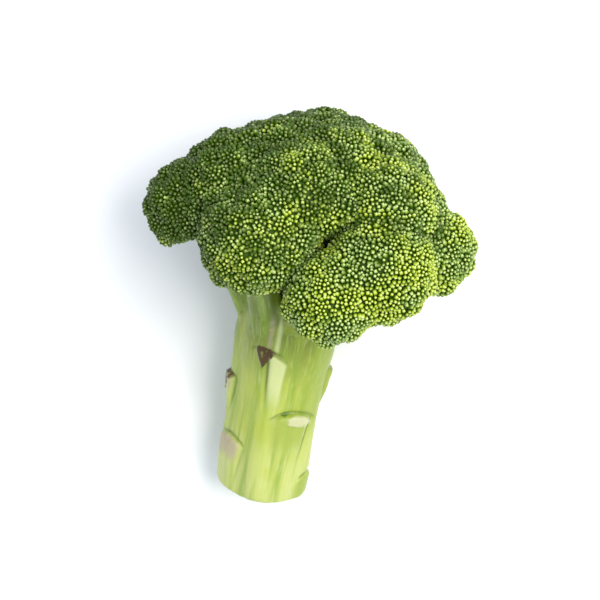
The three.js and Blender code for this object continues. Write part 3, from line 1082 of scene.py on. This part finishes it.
def stemTree():
    tree, given = newTree("stemsOnLines", {"Sides": 8, "Stem Material": None})
    lines = addNode(tree, "GeometryNodeMeshToCurve", {"Mesh": given["Geometry"]})
    thick = addNode(tree, "GeometryNodeInputNamedAttribute", {"Name": "thick"}, data_type="FLOAT").outputs[0]
    ring = addNode(tree, "GeometryNodeCurvePrimitiveCircle", {"Resolution": given["Sides"], "Radius": 1.0})
    tube = addNode(tree, "GeometryNodeCurveToMesh", {
        "Curve": lines.outputs[0], "Profile Curve": ring.outputs[0], "Scale": thick, "Fill Caps": True})
    real = addNode(tree, "GeometryNodeRealizeInstances", {"Geometry": tube.outputs[0]})
    smooth = addNode(tree, "GeometryNodeSetShadeSmooth", {"Geometry": real.outputs[0]})
    done = addNode(tree, "GeometryNodeSetMaterial", {
        "Geometry": smooth.outputs[0], "Material": given["Stem Material"]})
    addNode(tree, "NodeGroupOutput", {"Geometry": done.outputs[0]})
    return tree


def bend(start, lead, end):  # a quadratic curve from start to end that sets off towards lead
    t = np.linspace(0, 1, stemShape["steps"])[:, None]
    return (1 - t) ** 2 * start + 2 * t * (1 - t) * lead + t ** 2 * end


def makeStems(core, tree):
    aim, end = core["aim"], core["branchEnd"]
    points = pointsOf(core["mesh"])
    under = points[core["isUnder"]]
    if len(under) < 30:
        return None
    targets = under[spreadOut(under, stemShape["twigGap"])]
    fromAxis = lengths(np.cross(targets - end, aim))
    targets = targets[fromAxis > stemShape["fromAxis"]]
    if len(targets) < 3:
        return None
    forkEnds = targets[spreadOut(targets, stemShape["forkGap"])][:stemShape["forks"]]
    forkEnds = end + (forkEnds - end) * stemShape["forkReach"]
    forks = []
    for goal in forkEnds:
        lead = end + aim * stemShape["forkLead"] * np.linalg.norm(goal - end)
        forks.append(bend(end - aim * stemShape["inside"], lead, goal))
    twigs = []
    for goal in targets:
        fork = forks[int(lengths(forkEnds - goal).argmin())]
        start = fork[stemShape["twigFrom"]]
        lead = start + (fork[-1] - start) * stemShape["twigLead"]
        twigs.append(bend(start, lead, goal + aim * stemShape["intoBuds"]))
    steps = stemShape["steps"]
    forkThick = np.linspace(*stemShape["forkThick"], steps) * core["size"] / stemShape["usualSize"]
    twigThick = np.linspace(*stemShape["twigThick"], steps)
    points = np.vstack(forks + twigs)
    edges = [(i, i + 1) for i in range(len(points) - 1) if (i + 1) % steps]
    mesh = meshOf(core["name"] + "_lines", points, edges=edges)
    along = np.tile(np.linspace(0, 1.2, steps), len(forks + twigs))
    facts = {"thick": np.concatenate([forkThick] * len(forks) + [twigThick] * len(twigs)),
             "height": onStalk(points)[0] / mm, "grain": np.stack([points[:, 0] / mm, along, along], 1)}
    for key, values in facts.items():
        storeOn(mesh, key, values)
    return runTree(core["name"] + "_stems", mesh, tree, {"Stem Material": stalkMaterial})


stems = stemTree()
stemPieces = [makeStems(core, stems) for core in cores]
print("stems:", sum(len(p.data.polygons) for p in stemPieces if p), "faces")


# ---- camera, light and floor

low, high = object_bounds()
centre = (low + high) / 2
view = {
    "distance": 0.70,
    "focus": 0.055,  # the height that the distance is measured from
    "lens": 93.0,
    "turn": math.radians(10),  # the stalk leans this far to the left
    "aside": 1.5 * mm,
    "along": 4.1 * mm,
}


def makeCamera():
    lens = bpy.data.cameras.new("camera")
    lens.lens = view["lens"]
    lens.sensor_width = 36
    camera = bpy.data.objects.new("camera", lens)
    bpy.context.scene.collection.objects.link(camera)
    camera.location = (centre.x + view["aside"], centre.y + view["along"], view["focus"] + view["distance"])
    camera.rotation_euler = (0, 0, view["turn"])
    bpy.context.scene.camera = camera


def makeLight(name, place, size, power, colour):
    lamp = bpy.data.lights.new(name, "AREA")
    lamp.shape = "DISK"
    lamp.size = size
    lamp.energy = power
    lamp.color = linearColour(colour)[:3]
    light = bpy.data.objects.new(name, lamp)
    bpy.context.scene.collection.objects.link(light)
    light.location = place
    light.rotation_euler = (centre - Vector(place)).to_track_quat("-Z", "Y").to_euler()


def makeStudio():
    makeCamera()
    makeLight("softbox", (0.42, 0.08, 1.06), 0.6, 10.0, "#fffaf2")
    makeLight("top", (0.30, 0.50, 0.95), 0.5, 2.5, "#fffdf6")
    floorMesh = meshOf("floor", [(-3, -3, 0), (3, -3, 0), (3, 3, 0), (-3, 3, 0)], [(0, 1, 2, 3)])
    floor = newObject("floor", floorMesh)
    # plain matt paper, a little greyer than white
    paper, _, _ = newMaterial("palePaper", {"Base Color": linearColour("#ecedee"), "Roughness": 0.9})
    floorMesh.materials.append(paper)
    world = bpy.data.worlds.new("studio")
    world.use_nodes = True
    sky = world.node_tree.nodes["Background"]
    sky.inputs["Color"].default_value = linearColour("#edf4ff")
    sky.inputs["Strength"].default_value = 1.04
    bpy.context.scene.world = world
    bpy.context.scene.view_settings.view_transform = "Standard"


makeStudio()
print("studio")

# ---- every piece rides on the one body

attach(stalkPiece, "root")
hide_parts("stalk", *branchNames, *leafBaseNames)
for core, piece in zip(cores, floretPieces):
    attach(piece, "root")
    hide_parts(core["name"] + "_buds")
for piece in stemPieces:
    if piece:
        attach(piece, "root")
